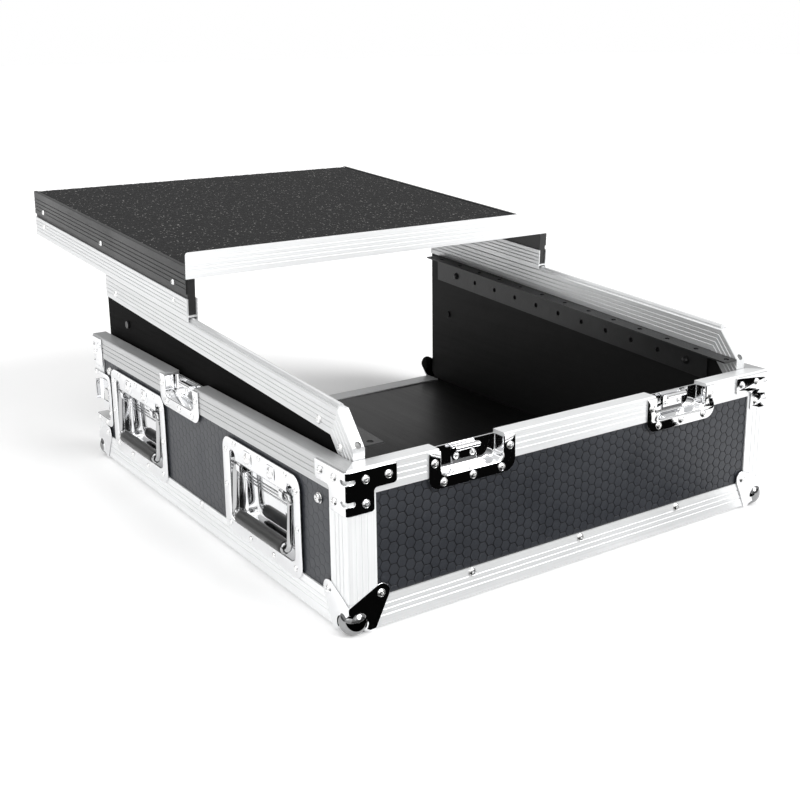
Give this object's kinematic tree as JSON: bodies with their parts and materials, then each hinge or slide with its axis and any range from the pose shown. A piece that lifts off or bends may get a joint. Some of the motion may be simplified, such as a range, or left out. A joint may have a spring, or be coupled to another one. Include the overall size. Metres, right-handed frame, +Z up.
{
  "type": "slant mixer flight case",
  "caption": "Open base of a flight case with a low front, slanted 19-inch rack rails, spring handles, twist latches and a laptop shelf that slides along the slanted sides.",
  "frame": {"origin": "under the middle of the whole object, in the plane that its four ball corners stand on", "axes": "+Z up, +Y from the low front towards the open back, +X to the right seen from the front"},
  "size_m": [0.562, 0.864, 0.3114],
  "materials": {
    "aluminium": "ribbed extrusion, satin",
    "ribbed_aluminium": "ribbed extrusion, satin",
    "laminate": "plywood faced with black laminate embossed with hexagons",
    "black_ply": "plywood, painted black, satin",
    "chrome": "pressed steel, polished",
    "zinc": "zinc plated",
    "black_steel": "powder coated black",
    "grip_rubber": "moulded, matte",
    "carpet": "short black carpet with light flecks"
  },
  "bodies": {
    "case": {"floor_panel": "black_ply", "front_panel": "laminate", "left_panel": "laminate", "right_panel": "laminate", "front_top_rail": "aluminium", "left_top_rail": "aluminium", "right_top_rail": "aluminium", "front_bottom_rail": "aluminium", "left_bottom_rail": "aluminium", "right_bottom_rail": "aluminium", "rear_sill": "aluminium", "front_left_post": "aluminium", "front_right_post": "aluminium", "rear_left_post": "aluminium", "rear_right_post": "aluminium", "front_left_corner_bracket": "chrome", "front_right_corner_bracket": "chrome", "rear_left_corner_bracket": "chrome", "rear_right_corner_bracket": "chrome", "front_left_ball_corner": "chrome", "front_right_ball_corner": "chrome", "rear_left_ball_corner": "chrome", "rear_right_ball_corner": "chrome", "front_left_catch_dish": "chrome", "front_right_catch_dish": "chrome", "left_catch_dish": "chrome", "right_catch_dish": "chrome", "left_front_handle_dish": "chrome", "left_rear_handle_dish": "chrome", "right_front_handle_dish": "chrome", "right_rear_handle_dish": "chrome", "left_rear_latch_dish": "chrome", "right_rear_latch_dish": "chrome", "left_wedge_panel": "black_ply", "right_wedge_panel": "black_ply", "left_slant_rail": "ribbed_aluminium", "right_slant_rail": "ribbed_aluminium", "left_rack_rail": "black_steel", "right_rack_rail": "black_steel"},
    "shelf": {"shelf_board": "black_ply", "shelf_carpet": "carpet", "left_shelf_channel": "ribbed_aluminium", "right_shelf_channel": "ribbed_aluminium", "left_shelf_trim": "ribbed_aluminium", "right_shelf_trim": "ribbed_aluminium", "shelf_lip": "aluminium"},
    "left_front_handle": {"left_front_handle_bail": "chrome", "left_front_handle_grip": "grip_rubber"},
    "left_rear_handle": {"left_rear_handle_bail": "chrome", "left_rear_handle_grip": "grip_rubber"},
    "right_front_handle": {"right_front_handle_bail": "chrome", "right_front_handle_grip": "grip_rubber"},
    "right_rear_handle": {"right_rear_handle_bail": "chrome", "right_rear_handle_grip": "grip_rubber"},
    "left_latch_hub": {"left_rear_latch_hub": "zinc"},
    "left_latch_wings": {"left_rear_latch_wings": "chrome"},
    "left_latch_claw": {"left_rear_latch_claw": "chrome"},
    "right_latch_hub": {"right_rear_latch_hub": "zinc"},
    "right_latch_wings": {"right_rear_latch_wings": "chrome"},
    "right_latch_claw": {"right_rear_latch_claw": "chrome"}
  },
  "joints": [
    {"name": "shelf_slide", "type": "slide", "parent": "case", "child": "shelf", "axis": [0, -0.9981, -0.061], "range_m": [0, 0.263]},
    {"name": "left_front_handle_swing", "type": "hinge", "parent": "case", "child": "left_front_handle", "pos_m": [-0.271, -0.26646, 0.101], "axis": [0, 1, 0], "range_deg": [0, 90], "stiffness_Nm_per_rad": 0.12, "springref_deg": -34.38},
    {"name": "left_rear_handle_swing", "type": "hinge", "parent": "case", "child": "left_rear_handle", "pos_m": [-0.271, 0.04304, 0.101], "axis": [0, 1, 0], "range_deg": [0, 90], "stiffness_Nm_per_rad": 0.12, "springref_deg": -34.38},
    {"name": "right_front_handle_swing", "type": "hinge", "parent": "case", "child": "right_front_handle", "pos_m": [0.271, -0.26646, 0.101], "axis": [0, -1, 0], "range_deg": [0, 90], "stiffness_Nm_per_rad": 0.12, "springref_deg": -34.38},
    {"name": "right_rear_handle_swing", "type": "hinge", "parent": "case", "child": "right_rear_handle", "pos_m": [0.271, 0.04304, 0.101], "axis": [0, -1, 0], "range_deg": [0, 90], "stiffness_Nm_per_rad": 0.12, "springref_deg": -34.38},
    {"name": "left_latch_twist", "type": "hinge", "parent": "case", "child": "left_latch_hub", "pos_m": [-0.2618, 0.15954, 0.083], "axis": [1, 0, 0], "range_deg": [0, 180]},
    {"name": "left_latch_wings_fold", "type": "hinge", "parent": "left_latch_hub", "child": "left_latch_wings", "pos_m": [-0.2661, 0.15954, 0.083], "axis": [0, 1, 0], "range_deg": [0, 90]},
    {"name": "left_latch_claw_slide", "type": "slide", "parent": "case", "child": "left_latch_claw", "axis": [0, 1, 0], "range_m": [-0.006, 0]},
    {"name": "right_latch_twist", "type": "hinge", "parent": "case", "child": "right_latch_hub", "pos_m": [0.2618, 0.15954, 0.083], "axis": [-1, 0, 0], "range_deg": [0, 180]},
    {"name": "right_latch_wings_fold", "type": "hinge", "parent": "right_latch_hub", "child": "right_latch_wings", "pos_m": [0.2661, 0.15954, 0.083], "axis": [0, -1, 0], "range_deg": [0, 90]},
    {"name": "right_latch_claw_slide", "type": "slide", "parent": "case", "child": "right_latch_claw", "axis": [0, 1, 0], "range_m": [-0.006, 0]}
  ],
  "couplings": [
    {"joint": "left_latch_twist", "follows": "left_latch_claw_slide", "rad_per_m": -523.59},
    {"joint": "right_latch_twist", "follows": "right_latch_claw_slide", "rad_per_m": -523.59}
  ]
}
